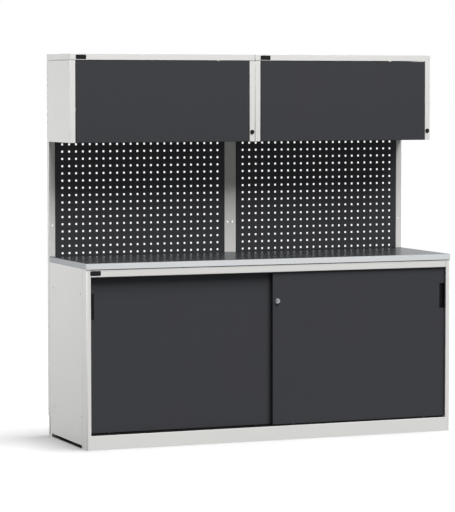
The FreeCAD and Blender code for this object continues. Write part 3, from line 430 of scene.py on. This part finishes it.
def seen_directly(tree):
    """One for a camera, glossy or transmission ray that no dull surface has scattered yet, otherwise
    zero."""
    path = add(tree, "ShaderNodeLightPath", {}).outputs
    mirror = add(tree, "ShaderNodeMath", {0: path["Is Camera Ray"], 1: path["Is Glossy Ray"]},
                 operation="MAXIMUM")
    glass = add(tree, "ShaderNodeMath", {0: mirror.outputs["Value"], 1: path["Is Transmission Ray"]},
                operation="MAXIMUM")
    seen = add(tree, "ShaderNodeMath", {0: glass.outputs["Value"], 1: path["Diffuse Depth"]},
               operation="SUBTRACT", use_clamp=True)
    return seen.outputs["Value"]


def pale_floor():
    """A wide plain floor. The camera and mirrors see it near white; the light it throws up is that of
    a mid grey, so that it does not fill the shadows under the cabinets."""
    side, near, far = 90, -60, 120
    corners = [(-side, near, 0), (side, near, 0), (side, far, 0), (-side, far, 0)]
    mesh = bpy.data.meshes.new("floor")
    mesh.from_pydata(corners, [], [(0, 1, 2, 3)])
    floor = bpy.data.objects.new("floor", mesh)
    scene.collection.objects.link(floor)
    material, tree, shader, _ = new_material("pale floor paint")
    tone = add(tree, "ShaderNodeMix", {SHARE: seen_directly(tree), FIRST: linear("#5A5A5A"),
                                       SECOND: linear("#D1D1D1")}, data_type="RGBA")
    tree.links.new(tone.outputs[MIXED], shader.inputs["Base Color"])
    shader.inputs["Roughness"].default_value = 0.9
    shader.inputs["Specular IOR Level"].default_value = 0.1
    mesh.materials.append(material)
    return floor


def white_room(ambient):
    """A world that looks white and lights the shadows with an even share."""
    world = bpy.data.worlds.new("white room")
    world.use_nodes = True
    scene.world = world
    tree = world.node_tree
    level = add(tree, "ShaderNodeMapRange", {"Value": seen_directly(tree), "To Min": ambient, "To Max": 1.0})
    background = tree.nodes["Background"]
    background.inputs["Color"].default_value = (1, 1, 1, 1)
    tree.links.new(level.outputs["Result"], background.inputs["Strength"])


def soft_lamp(name, azimuth, elevation, strength, spread):
    """A far, wide lamp. Azimuth 0 is straight in front of the bench and grows to its right; in degrees.
    Mirrors don't show it: they show the white room in its place, so that bright steel doesn't glare."""
    lamp = bpy.data.lights.new(name, "SUN")
    lamp.energy = strength
    lamp.angle = math.radians(spread)
    turn, rise = math.radians(azimuth), math.radians(elevation)
    towards = Vector((math.sin(turn) * math.cos(rise), -math.cos(turn) * math.cos(rise), math.sin(rise)))
    holder = bpy.data.objects.new(name, lamp)
    holder.rotation_euler = towards.to_track_quat("Z", "Y").to_euler()
    holder.visible_glossy = False
    scene.collection.objects.link(holder)
    return holder


def near_lamp(name, place, towards, power, width, height, spread):
    """A soft box at a place, facing along a direction. Its light opens by the spread, in degrees."""
    lamp = bpy.data.lights.new(name, "AREA")
    lamp.energy = power
    lamp.shape = "RECTANGLE"
    lamp.size, lamp.size_y = width, height
    lamp.spread = math.radians(spread)
    holder = bpy.data.objects.new(name, lamp)
    holder.location = place
    holder.rotation_euler = (-Vector(towards)).to_track_quat("Z", "Y").to_euler()
    scene.collection.objects.link(holder)
    return holder


def link_light(lamp, floor, state):
    """Light linking: INCLUDE makes a lamp light the floor alone, EXCLUDE everything but the floor. The
    bench still shades the floor from the floor's own lamps, whose shadow is as short as the photograph's."""
    group = bpy.data.collections.new(lamp.name)
    group.objects.link(floor)
    group.collection_objects[0].light_linking.link_state = state
    lamp.light_linking.receiver_collection = group


def photo_camera():
    """The photograph's viewpoint: about thirteen metres away, to the left and at head height."""
    tilt_down, turn_right = 0.067098, 0.383978
    camera = bpy.data.cameras.new("camera")
    camera.sensor_width = 36
    camera.lens = 177.455
    camera.clip_end = 300
    holder = bpy.data.objects.new("camera", camera)
    holder.location = (-5.0909, -12.2775, 1.83245)
    holder.rotation_euler = (math.pi / 2 - tilt_down, 0, -turn_right)
    scene.collection.objects.link(holder)
    scene.camera = holder


dress_nodes()
badge_plates()
blind_rivets()
bracket_rivets()
flap_spacers()
shadow_strip_and_seals()
white_room(ambient=0.045)
floor = pale_floor()

# The photograph's overhead cabinets have lighter fronts than its base
cabinet_light = near_lamp("cabinet light", place=(-0.2, -2.2, 3.3), towards=(0.1, 2.14, -1.3),
                          power=0.9, width=2.6, height=0.3, spread=30)
cabinet_light.visible_glossy = False
# The two fills serve the views from the right and from behind; they stand low, so the lids keep their tone
bench_lamps = (
    soft_lamp("key", azimuth=15, elevation=52, strength=4.25, spread=40),
    soft_lamp("right fill", azimuth=115, elevation=6, strength=1.6, spread=12),
    soft_lamp("back fill", azimuth=180, elevation=6, strength=1.7, spread=12),
    near_lamp("left soft box", place=(-4.2, 0.3, 1.5), towards=(1, 0, 0),
              power=82, width=1.6, height=1.6, spread=180),
    near_lamp("front strip", place=(2.6, -6.5, 1.7), towards=(-0.37, 0.92, -0.1),
              power=14, width=3.0, height=1.2, spread=180),
    cabinet_light,
)
for lamp in bench_lamps:
    link_light(lamp, floor, "EXCLUDE")
# The first makes the soft shadow at the left; the second comes from the camera's side and lightens it
floor_lamps = (
    soft_lamp("floor from the right", azimuth=70, elevation=83, strength=3.9, spread=22),
    soft_lamp("floor from the left", azimuth=-24, elevation=60, strength=1.25, spread=10),
)
for lamp in floor_lamps:
    link_light(lamp, floor, "INCLUDE")
photo_camera()
scene.view_settings.view_transform = "Standard"
